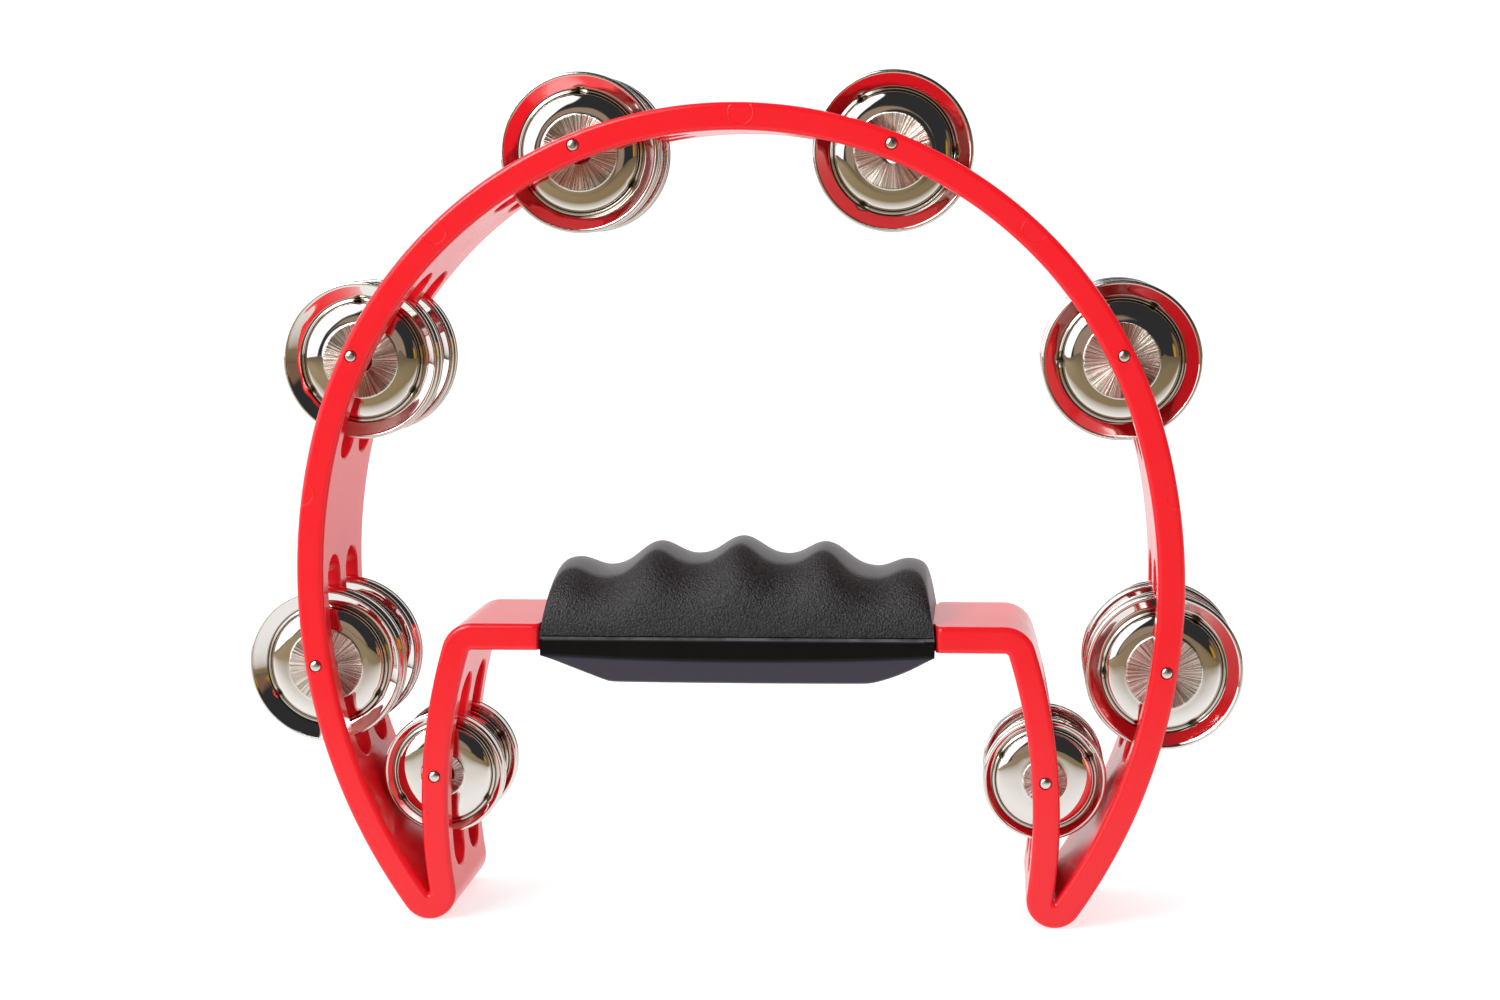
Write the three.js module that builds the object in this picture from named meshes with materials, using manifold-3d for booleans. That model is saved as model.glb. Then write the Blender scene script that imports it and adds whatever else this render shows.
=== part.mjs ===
// Half-moon tambourine with two rows of jingles: a moulded frame, a two-part grip, eight pins and
// thirty-two jingles. Millimetres, +Z up, X across the arch, Y through its depth, front face at -Y.
// The origin is the middle of the base, on the surface that the two tips stand on.

import * as THREE from 'three';
import { mergeVertices } from 'three/addons/utils/BufferGeometryUtils.js';
import Module from 'manifold-3d';

const wasm = await Module();
wasm.setup();

const degrees = THREE.MathUtils.degToRad;
const SEAT_GAP = 0.3;                 // between two pieces that touch
const CUT_CLEAR = 1;                  // how far a cutter reaches past the face that it cuts

// Frame: one wall of constant thickness that follows a closed centre line of arcs.
const FRAME_HEIGHT = 236.2;
const FRAME_DEPTH = 45;
const WALL = 7.8;
const EDGE_ROUND = 1.6;
const CROWN_RADIUS = 122.1;           // top of the arch
const SIDE_RADIUS = 164.1;            // flatter sides of the arch
const CROWN_TO_SIDE = degrees(16);    // above horizontal, seen from the crown's centre
const TIP_RADIUS = 4.2;
const LEG_RADIUS = 165;               // inner legs, bowed outwards
const LEG_CENTRE_HEIGHT = 32.2;
const CORNER_RADIUS = 5.2;            // between a leg and the bar
const BAR_HEIGHT = 84.3;              // centre line of the bar that carries the grip

// Slots and pins
const ROW_OFFSET = 9.75;              // each row's middle, either side of the frame's middle
const SLOT_WIDTH = 12.5;
const SLOT_END_SEGMENTS = 3;
const PIN_RADIUS = 1.3;
const PIN_OUTWARD = 0.6;              // arch pins sit a little outside the wall's centre line
const PIN_HEAD_RADIUS = 1.75;
const PIN_HEAD_DEPTH = 1.2;
const PIN_HEAD_PROUD = 0.5;
const PIN_HEAD_SHOULDER = { radius: 0.7, height: 0.6 };  // shares of the domed part of the head
const PIN_END_COVER = 3;              // rear rim left over each pin's blind hole
const PIN_SIDES = 12;

// Jingles: pressed steel cups with a dished flange, two to a slot, back to back.
const JINGLE_SHEET = 0.6;
const SHEET_LEAN = 0.4;               // along the radius, between the two faces of a sloping sheet
const JINGLE_HEIGHT = 3.2;
const JINGLE_HOLE_RADIUS = 3.5;
const FLANGE_SLOPE = 0.33;            // the flange's rise from the cup to the lip, over its width
const PAIR_GAP = 1;                   // between the two backs of a pair at rest
const PAIR_SHIFT = 1.5;               // each pair rests a little behind the middle of its slot
const LARGE_JINGLE = { radius: 22.8, cupRadius: 17.4, plateauRadius: 10.9, sides: 18, halfSlot: 30 };
const SMALL_JINGLE = { radius: 18, cupRadius: 14.7, plateauRadius: 6.4, sides: 16, halfSlot: 29 };

// Grip: an upper half with five finger ridges and a lower half with a boat-shaped underside.
const SEAM_HEIGHT = 84.9;
const GRIP_HALF_LENGTH = 56.8;
const GRIP_WALL = 4;                  // outside the narrowed bar, front and rear
const GRIP_END_SLOPE = 0.155;         // how far each end leans in, per millimetre of height
const GRIP_FOOT = 1;                  // upright strip along the seam, under the domed top
const GRIP_DOME_STEPS = 12;           // facets from the front of the dome to the rear
const RIDGE_TOP = 111.1;
const RIDGE_PITCH = 25;
const RIDGE_DEPTH = 4.8;
const RIDGE_SHARPNESS = 2.4;
const RIDGE_FALL = 0.0027;            // drop per square of the distance from the middle
const RIDGE_STEP = 2.5;               // between points along the ridges
const LAST_RIDGE = 48.5;              // top of the outermost ridges, from the middle
const END_CORNER_DROP = 4;            // height of the rounded corner beyond the last ridge
const PALM_BAND_HEIGHT = 78;          // lower edge of the plain band, front and rear
const PALM_END_HEIGHT = 79;           // and at the two ends
const PALM_BOTTOM = 68.2;
const PALM_FLAT_HALF_LENGTH = 36.5;
const PALM_FLAT_HALF_DEPTH = 12;

const PLASTIC_RED = new THREE.MeshStandardMaterial({ color: 0xe8141f, roughness: 0.2, metalness: 0 });
const GRIP_BLACK = new THREE.MeshStandardMaterial({ color: 0x1a191b, roughness: 0.7, metalness: 0 });
const PLATED_STEEL = new THREE.MeshStandardMaterial({ color: 0xd8d6d2, roughness: 0.08, metalness: 1 });
const PIN_STEEL = new THREE.MeshStandardMaterial({ color: 0xc8c4bc, roughness: 0.2, metalness: 1 });

// Centre line of the right half of the wall, from the crown to the bar. Each arc is tangent to the
// next one, and outward says which way the wall's outside lies from the arc's centre.

function reach(hypotenuse, side) {
  return Math.sqrt(hypotenuse ** 2 - side ** 2);
}

function bearing(from, to) {
  return Math.atan2(to.z - from.z, to.x - from.x);
}

const crown = { x: 0, z: FRAME_HEIGHT - WALL / 2 - CROWN_RADIUS, radius: CROWN_RADIUS, outward: 1 };
const side = {
  x: crown.x + (CROWN_RADIUS - SIDE_RADIUS) * Math.cos(CROWN_TO_SIDE),
  z: crown.z + (CROWN_RADIUS - SIDE_RADIUS) * Math.sin(CROWN_TO_SIDE),
  radius: SIDE_RADIUS,
  outward: 1,
};
const tip = { z: TIP_RADIUS + WALL / 2, radius: TIP_RADIUS, outward: 1 };
tip.x = side.x + reach(SIDE_RADIUS - TIP_RADIUS, side.z - tip.z);
const leg = { z: LEG_CENTRE_HEIGHT, radius: LEG_RADIUS, outward: -1 };
leg.x = tip.x - reach(LEG_RADIUS + TIP_RADIUS, leg.z - tip.z);
const corner = { z: BAR_HEIGHT - CORNER_RADIUS, radius: CORNER_RADIUS, outward: -1 };
corner.x = leg.x + reach(LEG_RADIUS - CORNER_RADIUS, corner.z - leg.z);

const STRETCHES = [
  { arc: crown, from: Math.PI / 2, to: CROWN_TO_SIDE, steps: 15 },
  { arc: side, from: CROWN_TO_SIDE, to: bearing(side, tip), steps: 12 },
  { arc: tip, from: bearing(side, tip), to: bearing(tip, leg) - 2 * Math.PI, steps: 9 },
  { arc: leg, from: bearing(leg, tip), to: bearing(leg, corner), steps: 7 },
  { arc: corner, from: bearing(leg, corner), to: Math.PI / 2, steps: 5 },
];

// The wall's outside face for offset = WALL / 2, its inside face for -WALL / 2.
function wallOutline(offset) {
  const right = [];
  for (const { arc, from, to, steps } of STRETCHES) {
    const radius = arc.radius + arc.outward * offset;
    for (let step = right.length ? 1 : 0; step <= steps; step += 1) {
      const angle = THREE.MathUtils.lerp(from, to, step / steps);
      right.push(new THREE.Vector2(arc.x + radius * Math.cos(angle), arc.z + radius * Math.sin(angle)));
    }
  }
  const left = right.slice(1).reverse().map((point) => new THREE.Vector2(-point.x, point.y));
  return [...right, ...left];
}

// Stations on the right half, top to bottom; each has a mirrored twin on the left.
const STATIONS = [
  { name: 'crown', arc: crown, angle: degrees(68.65), pinOutward: PIN_OUTWARD, jingle: LARGE_JINGLE },
  { name: 'shoulder', arc: crown, angle: degrees(26.7), pinOutward: PIN_OUTWARD, jingle: LARGE_JINGLE },
  { name: 'side', arc: side, angle: degrees(-8.1), pinOutward: PIN_OUTWARD, jingle: LARGE_JINGLE },
  { name: 'leg', arc: leg, angle: degrees(3.75), pinOutward: 0, jingle: SMALL_JINGLE },
];

function pinPlace(station, hand) {
  const radius = station.arc.radius + station.pinOutward;
  const x = station.arc.x + radius * Math.cos(station.angle);
  const z = station.arc.z + radius * Math.sin(station.angle);
  return new THREE.Vector3(hand * x, 0, z);
}

// Solids

function toSolid(geometry) {
  const bare = geometry.clone();
  bare.deleteAttribute('normal');
  bare.deleteAttribute('uv');
  const merged = mergeVertices(bare, 1e-4);
  return new wasm.Manifold(new wasm.Mesh({
    numProp: 3,
    vertProperties: merged.attributes.position.array,
    triVerts: new Uint32Array(merged.index.array),
  }));
}

function toGeometry(solid) {
  const { vertProperties, triVerts } = solid.getMesh();
  const geometry = new THREE.BufferGeometry();
  geometry.setAttribute('position', new THREE.BufferAttribute(vertProperties, 3));
  geometry.setIndex(new THREE.BufferAttribute(triVerts, 1));
  return geometry;
}

// An outline in X and Z, extruded along Y and centred on Y = 0, with its long edges rounded by edge.
function slab(shape, depth, edge = 0) {
  const geometry = new THREE.ExtrudeGeometry(shape, {
    depth: depth - 2 * edge,
    bevelEnabled: edge > 0,
    bevelThickness: edge,
    bevelSize: edge,
    bevelOffset: -edge,
    bevelSegments: 2,
  });
  geometry.translate(0, 0, edge - depth / 2);
  return geometry.rotateX(Math.PI / 2);
}

function block(low, high) {
  const size = high.clone().sub(low);
  const middle = low.clone().add(high).multiplyScalar(0.5);
  return toSolid(new THREE.BoxGeometry(...size).translate(...middle));
}

// A slot with round ends, cut square through the wall at a station.
function slotCutter(station, hand, rowY) {
  const round = SLOT_WIDTH / 2;
  const straight = station.jingle.halfSlot - round;
  const shape = new THREE.Shape();
  shape.absarc(straight, 0, round, -Math.PI / 2, Math.PI / 2, false);
  shape.absarc(-straight, 0, round, Math.PI / 2, 1.5 * Math.PI, false);
  const sag = station.jingle.halfSlot ** 2 / (2 * station.arc.radius);
  const cutter = new THREE.ExtrudeGeometry(shape, {
    depth: WALL + sag + 2 * CUT_CLEAR,
    bevelEnabled: false,
    curveSegments: SLOT_END_SEGMENTS,
  });
  cutter.translate(0, 0, -(WALL / 2 + sag + CUT_CLEAR));
  const across = new THREE.Vector3(hand * Math.cos(station.angle), 0, Math.sin(station.angle));
  const along = new THREE.Vector3(across.z, 0, -across.x);
  const middle = new THREE.Vector3(
    hand * (station.arc.x + station.arc.radius * Math.cos(station.angle)),
    rowY,
    station.arc.z + station.arc.radius * Math.sin(station.angle),
  );
  const turn = new THREE.Matrix4().makeBasis(along, new THREE.Vector3(0, 1, 0), across);
  return toSolid(cutter.applyMatrix4(turn.setPosition(middle)));
}

// A blind hole for a pin, with a shallow counterbore for its head.
function pinCutter(station, hand) {
  const frontFace = -FRAME_DEPTH / 2;
  const profile = [
    [0, frontFace - CUT_CLEAR],
    [PIN_HEAD_RADIUS + SEAT_GAP, frontFace - CUT_CLEAR],
    [PIN_HEAD_RADIUS + SEAT_GAP, frontFace + PIN_HEAD_DEPTH],
    [PIN_RADIUS + SEAT_GAP, frontFace + PIN_HEAD_DEPTH],
    [PIN_RADIUS + SEAT_GAP, -frontFace - PIN_END_COVER],
    [0, -frontFace - PIN_END_COVER],
  ].map(([radius, y]) => new THREE.Vector2(radius, y));
  return toSolid(new THREE.LatheGeometry(profile, PIN_SIDES).translate(...pinPlace(station, hand)));
}

function frameGeometry() {
  const outline = new THREE.Shape(wallOutline(WALL / 2));
  outline.holes.push(new THREE.Path(wallOutline(-WALL / 2).reverse()));
  let frame = toSolid(slab(outline, FRAME_DEPTH, EDGE_ROUND));
  for (const station of STATIONS) {
    for (const hand of [-1, 1]) {
      frame = frame.subtract(slotCutter(station, hand, -ROW_OFFSET));
      frame = frame.subtract(slotCutter(station, hand, ROW_OFFSET));
      frame = frame.subtract(pinCutter(station, hand));
    }
  }
  // The bar is narrower inside the grip, so that the grip is flush with the frame.
  const halfLength = GRIP_HALF_LENGTH + SEAT_GAP;
  for (const hand of [-1, 1]) {
    const inner = hand * (FRAME_DEPTH / 2 - GRIP_WALL);
    const outer = hand * (FRAME_DEPTH / 2 + CUT_CLEAR);
    frame = frame.subtract(block(
      new THREE.Vector3(-halfLength, Math.min(inner, outer), BAR_HEIGHT - WALL),
      new THREE.Vector3(halfLength, Math.max(inner, outer), BAR_HEIGHT + WALL),
    ));
  }
  return toGeometry(frame);
}

// Room for the narrowed bar between the two halves of the grip.
function barChannel() {
  const halfDepth = FRAME_DEPTH / 2 - GRIP_WALL + SEAT_GAP;
  const halfHeight = WALL / 2 + SEAT_GAP;
  return block(
    new THREE.Vector3(-2 * GRIP_HALF_LENGTH, -halfDepth, BAR_HEIGHT - halfHeight),
    new THREE.Vector3(2 * GRIP_HALF_LENGTH, halfDepth, BAR_HEIGHT + halfHeight),
  );
}

function ridgeHeight(x) {
  const ripple = 1 - Math.abs(Math.cos((Math.PI * x) / RIDGE_PITCH)) ** RIDGE_SHARPNESS;
  return RIDGE_TOP - RIDGE_FALL * x ** 2 - RIDGE_DEPTH * ripple;
}

// Half the length of the upper half of the grip, which is shorter towards its top.
function gripEnd(z) {
  return GRIP_HALF_LENGTH - GRIP_END_SLOPE * (z - SEAM_HEIGHT);
}

// The ridges over the middle of the grip, from the right end to the left, as points in X and Z.
function ridgeLine() {
  const endHeight = ridgeHeight(LAST_RIDGE);
  const endFoot = new THREE.Vector2(gripEnd(endHeight - END_CORNER_DROP), endHeight - END_CORNER_DROP);
  const corner = new THREE.Vector2(gripEnd(endHeight), endHeight);
  const lastTop = new THREE.Vector2(LAST_RIDGE, endHeight);
  const right = new THREE.QuadraticBezierCurve(endFoot, corner, lastTop).getPoints(3);
  for (let x = LAST_RIDGE - RIDGE_STEP; x > 0; x -= RIDGE_STEP) {
    right.push(new THREE.Vector2(x, ridgeHeight(x)));
  }
  const left = right.map((point) => new THREE.Vector2(-point.x, point.y)).reverse();
  return [...right, new THREE.Vector2(0, ridgeHeight(0)), ...left];
}

// The ridges fall to the seam in a half ellipse from front to rear, between the two sloped ends.
function fingerGripGeometry() {
  const base = SEAM_HEIGHT + SEAT_GAP / 2;
  const line = ridgeLine();
  const size = line.length + 2;
  const positions = [];
  const triangles = [];
  for (let row = 0; row <= GRIP_DOME_STEPS; row += 1) {
    const angle = (Math.PI * row) / GRIP_DOME_STEPS;
    const y = (-FRAME_DEPTH / 2) * Math.cos(angle);
    positions.push(gripEnd(base), y, base);
    for (const point of line) {
      const z = base + GRIP_FOOT + (point.y - base - GRIP_FOOT) * Math.sin(angle);
      positions.push((point.x * gripEnd(z)) / gripEnd(point.y), y, z);
    }
    positions.push(-gripEnd(base), y, base);
    for (let place = 0; row > 0 && place < size; place += 1) {
      const here = row * size + place;
      const next = row * size + ((place + 1) % size);
      triangles.push(here - size, next, next - size, here - size, here, next);
    }
  }
  const lastRow = GRIP_DOME_STEPS * size;
  for (let place = 1; place < size - 1; place += 1) {
    triangles.push(0, place, place + 1);
    triangles.push(lastRow, lastRow + place + 1, lastRow + place);
  }
  const whole = new THREE.BufferGeometry();
  whole.setAttribute('position', new THREE.Float32BufferAttribute(positions, 3));
  whole.setIndex(triangles);
  return toGeometry(toSolid(whole).subtract(barChannel()));
}

function palmGripGeometry() {
  const top = SEAM_HEIGHT - SEAT_GAP / 2;
  const halfDepth = FRAME_DEPTH / 2;
  const lengthways = new THREE.Shape([
    new THREE.Vector2(-GRIP_HALF_LENGTH, top),
    new THREE.Vector2(-GRIP_HALF_LENGTH, PALM_END_HEIGHT),
    new THREE.Vector2(-PALM_FLAT_HALF_LENGTH, PALM_BOTTOM),
    new THREE.Vector2(PALM_FLAT_HALF_LENGTH, PALM_BOTTOM),
    new THREE.Vector2(GRIP_HALF_LENGTH, PALM_END_HEIGHT),
    new THREE.Vector2(GRIP_HALF_LENGTH, top),
  ]);
  const crossways = new THREE.Shape([
    new THREE.Vector2(-halfDepth, top + CUT_CLEAR),
    new THREE.Vector2(-halfDepth, PALM_BAND_HEIGHT),
    new THREE.Vector2(-PALM_FLAT_HALF_DEPTH, PALM_BOTTOM - CUT_CLEAR),
    new THREE.Vector2(PALM_FLAT_HALF_DEPTH, PALM_BOTTOM - CUT_CLEAR),
    new THREE.Vector2(halfDepth, PALM_BAND_HEIGHT),
    new THREE.Vector2(halfDepth, top + CUT_CLEAR),
  ]);
  const hull = slab(crossways, 3 * GRIP_HALF_LENGTH).rotateZ(Math.PI / 2);
  return toGeometry(toSolid(slab(lengthways, FRAME_DEPTH)).intersect(toSolid(hull)).subtract(barChannel()));
}

// A steel pin with a domed head at the front, along Y.
function pinGeometry() {
  const frontFace = -FRAME_DEPTH / 2;
  const headBack = frontFace + PIN_HEAD_DEPTH - SEAT_GAP;
  const profile = [
    [0, frontFace - PIN_HEAD_PROUD],
    [PIN_HEAD_RADIUS * PIN_HEAD_SHOULDER.radius, frontFace - PIN_HEAD_PROUD * PIN_HEAD_SHOULDER.height],
    [PIN_HEAD_RADIUS, frontFace],
    [PIN_HEAD_RADIUS, headBack],
    [PIN_RADIUS, headBack],
    [PIN_RADIUS, -frontFace - PIN_END_COVER - SEAT_GAP],
    [0, -frontFace - PIN_END_COVER - SEAT_GAP],
  ].map(([radius, y]) => new THREE.Vector2(radius, y));
  return new THREE.LatheGeometry(profile, PIN_SIDES);
}

// A jingle with the back of its cup at Y = 0, and its raised middle and its lip towards +Y.
function jingleGeometry({ radius, cupRadius, plateauRadius, sides }) {
  const inside = JINGLE_HEIGHT - JINGLE_SHEET;
  const lip = FLANGE_SLOPE * (radius - cupRadius);
  const profile = [
    [JINGLE_HOLE_RADIUS, inside],
    [plateauRadius - SHEET_LEAN, inside],
    [cupRadius - SHEET_LEAN, 0],
    [cupRadius, 0],
    [radius, lip],
    [radius, lip + JINGLE_SHEET],
    [cupRadius, JINGLE_SHEET],
    [plateauRadius, JINGLE_HEIGHT],
    [JINGLE_HOLE_RADIUS, JINGLE_HEIGHT],
    [JINGLE_HOLE_RADIUS, inside],
  ].map(([r, y]) => new THREE.Vector2(r, y));
  return new THREE.LatheGeometry(profile, sides);
}

const tambourine = new THREE.Group();

function addPiece(name, geometry, material, place = new THREE.Vector3()) {
  const mesh = new THREE.Mesh(geometry, material);
  mesh.name = name;
  mesh.position.copy(place);
  tambourine.add(mesh);
  return mesh;
}

addPiece('frame', frameGeometry(), PLASTIC_RED);
addPiece('finger_grip', fingerGripGeometry(), GRIP_BLACK);
addPiece('palm_grip', palmGripGeometry(), GRIP_BLACK);

// Four jingles on each pin, numbered from the front. Each hangs with its hole's top on the pin.
const JINGLE_HANG = JINGLE_HOLE_RADIUS - PIN_RADIUS - SEAT_GAP;
const JINGLE_SEATS = [
  { rowY: -ROW_OFFSET, facing: -1 },
  { rowY: -ROW_OFFSET, facing: 1 },
  { rowY: ROW_OFFSET, facing: -1 },
  { rowY: ROW_OFFSET, facing: 1 },
];

for (const station of STATIONS) {
  for (const [handName, hand] of [['left', -1], ['right', 1]]) {
    const place = pinPlace(station, hand);
    addPiece(`pin_${station.name}_${handName}`, pinGeometry(), PIN_STEEL, place);
    JINGLE_SEATS.forEach(({ rowY, facing }, seat) => {
      const backY = rowY + PAIR_SHIFT + facing * (PAIR_GAP / 2);
      const back = new THREE.Vector3(place.x, backY, place.z - JINGLE_HANG);
      const name = `jingle_${station.name}_${handName}_${seat + 1}`;
      const jingle = addPiece(name, jingleGeometry(station.jingle), PLATED_STEEL, back);
      if (facing < 0) jingle.rotation.z = Math.PI;
    });
  }
}

export default tambourine;
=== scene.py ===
"""Half-moon tambourine with two rows of jingles: the visual model, staged for a studio picture.

Sizes are in millimetres until a mesh is made. X runs across the arch, Y through its depth with the
front face at -Y, and Z is up. The origin is the middle of the base.
"""

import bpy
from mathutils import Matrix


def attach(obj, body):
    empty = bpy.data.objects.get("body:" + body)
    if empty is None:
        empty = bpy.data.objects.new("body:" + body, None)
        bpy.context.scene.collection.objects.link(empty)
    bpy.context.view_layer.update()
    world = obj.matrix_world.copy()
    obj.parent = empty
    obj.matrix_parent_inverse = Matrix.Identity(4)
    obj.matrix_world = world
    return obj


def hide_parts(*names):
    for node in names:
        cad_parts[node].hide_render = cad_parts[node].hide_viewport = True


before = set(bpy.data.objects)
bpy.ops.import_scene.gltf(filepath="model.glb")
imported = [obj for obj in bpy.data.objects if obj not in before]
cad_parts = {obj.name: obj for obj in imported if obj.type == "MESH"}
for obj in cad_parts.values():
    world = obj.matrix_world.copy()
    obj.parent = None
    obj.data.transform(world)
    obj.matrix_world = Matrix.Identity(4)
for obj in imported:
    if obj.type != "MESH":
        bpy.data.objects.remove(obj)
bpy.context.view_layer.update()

import math

import bpy
from mathutils import Matrix, Vector
from mathutils.geometry import delaunay_2d_cdt

MM = 0.001
WELDS_PER_MM = 500                    # corners closer than this share a vertex

# Frame
FRAME_DEPTH = 45
HALF_DEPTH = FRAME_DEPTH / 2
HALF_WALL = 3.9
EDGE_ROUND = 1.6
BAR_HALF_DEPTH = 18.5                 # inside the grip
BAR_STEP = 57.1                       # where the bar narrows, from the middle
BAR_STEP_ROUND = 2
BAR_STEP_RUN = 0.1                    # over which the last of the step happens
ROW_OFFSET = 9.75                     # each row of jingles, either side of the frame's middle
SLOT_HALF_WIDTH = 6.25
SLOT_FILLET = 0.7
SLOT_END_STEPS = 16
SLOT_SIDE_STEPS = 12
SLOT_CLEARANCE = 0.9                  # that the grid of the wall's face keeps from a slot's fillet
PIN_OUTWARD = 0.6                     # arch pins sit a little outside the wall's centre line
PIN_RADIUS = 1.3
PIN_END_COVER = 3.3                   # from the pin's rear end to the rear face
PIN_HEAD_RADIUS = 1.52
PIN_RECESS_RADIUS = 1.75
PIN_RECESS_DEPTH = 1.2
PIN_RECESS_FLARE = 0.2                # how much wider its mouth is
PIN_RECESS_FLARE_DEPTH = 0.12
PIN_RECESS_CLEARANCE = 0.45           # that the grid of the front edge keeps from its bore
PIN_RECESS_STEPS = 28
PIN_HEAD_BASE = 0.1                   # behind the front face
PIN_HEAD_HEIGHT = 0.6
PIN_TURNS = 32
PIN_HANG = 1.9                        # a jingle's middle below its pin

# Grip
SEAM_HEIGHT = 84.9
SEAM_GAP = 0.3
GRIP_HALF_LENGTH = 56.8
GRIP_END_SLOPE = 0.155                # how far each end leans in, per millimetre of height
GRIP_FOOT = 1                         # upright strip along the seam, under the domed top
RIDGE_TOP = 111.1
RIDGE_PITCH = 25
RIDGE_DEPTH = 4.8
RIDGE_SHARPNESS = 2.4                 # over 2 makes the dips wider than the ridges
RIDGE_FALL = 0.0027                   # how fast the ridges get lower away from the middle
RIDGE_STEPS = 64                      # from the last ridge to the middle
LAST_RIDGE = 48.5
END_CORNER_DROP = 4                   # height of the rounded corner beyond the last ridge
END_CORNER_STEPS = 12
DOME_STEPS = 48
PALM_BOTTOM = 69.5
PALM_FLAT_HALF_LENGTH = 38.3
PALM_CORNER = 0.3                     # softness of the corners at the ends of the flat
PALM_RIGHT_BULGE = 1                  # of the slope at the right end
PALM_BAND_HEIGHT = 77.7
PALM_BAND_ROUND = 0.9
PALM_END_HEIGHT = 79.1
PALM_SLANT = 1.02                     # run over rise of the belly's slanted flanks
PALM_BOTTOM_ROUND = 1.6
PALM_STEPS = 90                       # from the middle to either end
LIP = {"from": -56, "to": 54, "proud": 0.5, "height": 0.7, "slope": 0.35, "round": 0.3}
LIP_STEP = 0.05                       # half the length over which the lip starts and ends

# Jingles
PAIR_GAP = 1                          # between the two backs of a pair at rest
PAIR_SHIFT = 1.5                      # each pair rests a little behind the middle of its slot
JINGLE_TURNS = 144
JINGLES = {
    "large": {"radius": 22.8, "cup": 17.4, "plateau": 10.9},
    "small": {"radius": 18.0, "cup": 14.7, "plateau": 6.4},
}
PIN_HOLE_RADIUS = 3.5
SHEET = 0.6
PLATEAU_HEIGHT = 3.2
PLATEAU_DIP = 0.05
SHOULDER_TOP = 2.88
SHOULDER_FOOT = 0.7
SHOULDER_FULLNESS = 0.9               # under 1 is rounder than an ellipse
BEAD_HEIGHT = 0.45
BEAD_STEPS = 8
FLANGE_LOW = 0.45
FLANGE_SLOPE = 0.68
FLANGE_FLARE = 0.04                   # share of the rise that comes just before the lip
FLANGE_STEPS = 8
NOTCHES = (0, 120, 240)               # degrees
NOTCH_WIDTH = 3.6                     # degrees
NOTCH_LENGTH = 0.8                    # across the bead
NOTCH_DEPTH = 0.6

# Profiles of a jingle's edges, as (outwards, up) from the radius and height of what they end
HOLE_EDGE = [(0, -0.12), (0.15, -0.02)]
PLATEAU_EDGE = [(-0.3, 0), (-0.05, -0.06), (0.1, -0.22)]
ROLLED_LIP = [(-0.8, 0.13), (-0.45, 0.12), (-0.15, -0.1), (0, -0.4), (-0.1, -0.62), (-0.4, -0.68)]


# Small vector helpers on plain tuples


def plus(a, b, scale=1.0):
    return tuple(p + q * scale for p, q in zip(a, b))


def unit(a):
    size = math.sqrt(sum(p * p for p in a)) or 1.0
    return tuple(p / size for p in a)


def cross(a, b):
    return (
        a[1] * b[2] - a[2] * b[1],
        a[2] * b[0] - a[0] * b[2],
        a[0] * b[1] - a[1] * b[0],
    )


def dot(a, b):
    return sum(p * q for p, q in zip(a, b))


def mix(a, b, share):
    return a + (b - a) * share


class Surface:
    """Faces whose corners are (point, normal) pairs. Corners at one point share a vertex."""

    def __init__(self):
        self.points = []
        self.index = {}
        self.faces = []

    def vertex(self, point):
        key = tuple(round(value * WELDS_PER_MM) for value in point)
        if key not in self.index:
            self.index[key] = len(self.points)
            self.points.append(point)
        return self.index[key]

    def face(self, *corners):
        """Adds a face, wound so that it looks the way its corners' normals do."""
        kept = []
        for point, normal in corners:
            number = self.vertex(point)
            if number not in [entry[0] for entry in kept]:
                kept.append((number, normal))
        if len(kept) < 3:
            return
        first, second, third = (self.points[kept[place][0]] for place in (0, 1, 2))
        facing = cross(plus(second, first, -1), plus(third, first, -1))
        if len(kept) == 4:
            fourth = self.points[kept[3][0]]
            facing = cross(plus(third, first, -1), plus(fourth, second, -1))
        if dot(facing, [sum(parts) for parts in zip(*(entry[1] for entry in kept))]) < 0:
            kept.reverse()
        self.faces.append(kept)

    def strip(self, one, other, closed=False):
        """Joins two rows of corners with quads."""
        count = len(one)
        for place in range(count if closed else count - 1):
            following = (place + 1) % count
            self.face(one[place], one[following], other[following], other[place])

    def grid(self, rows, closed=False):
        for one, other in zip(rows, rows[1:]):
            self.strip(one, other, closed)

    def mirrored(self):
        """Adds the mirror image across X = 0."""
        for kept in list(self.faces):
            twin = []
            for number, normal in kept:
                x, y, z = self.points[number]
                twin.append(((-x, y, z), (-normal[0], normal[1], normal[2])))
            self.face(*twin)

    def mesh(self, name):
        mesh = bpy.data.meshes.new(name)
        scaled = [tuple(value * MM for value in point) for point in self.points]
        mesh.from_pydata(scaled, [], [[entry[0] for entry in kept] for kept in self.faces])
        mesh.shade_smooth()
        mesh.normals_split_custom_set([entry[1] for kept in self.faces for entry in kept])
        return mesh


def with_normals(rows, closed=False):
    """Rows of points as rows of (point, normal), each normal from the neighbours in the grid."""
    result = []
    for r, row in enumerate(rows):
        above = rows[max(r - 1, 0)]
        below = rows[min(r + 1, len(rows) - 1)]
        line = []
        for c, point in enumerate(row):
            if closed:
                before = row[c - 1]
                after = row[(c + 1) % len(row)]
            else:
                before = row[max(c - 1, 0)]
                after = row[min(c + 1, len(row) - 1)]
            normal = unit(cross(plus(after, before, -1), plus(below[c], above[c], -1)))
            line.append((point, normal))
        result.append(line)
    return result


def turned(corners):
    """The same corners with their normals the other way."""
    return [[(point, tuple(-value for value in normal)) for point, normal in row] for row in corners]


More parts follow.
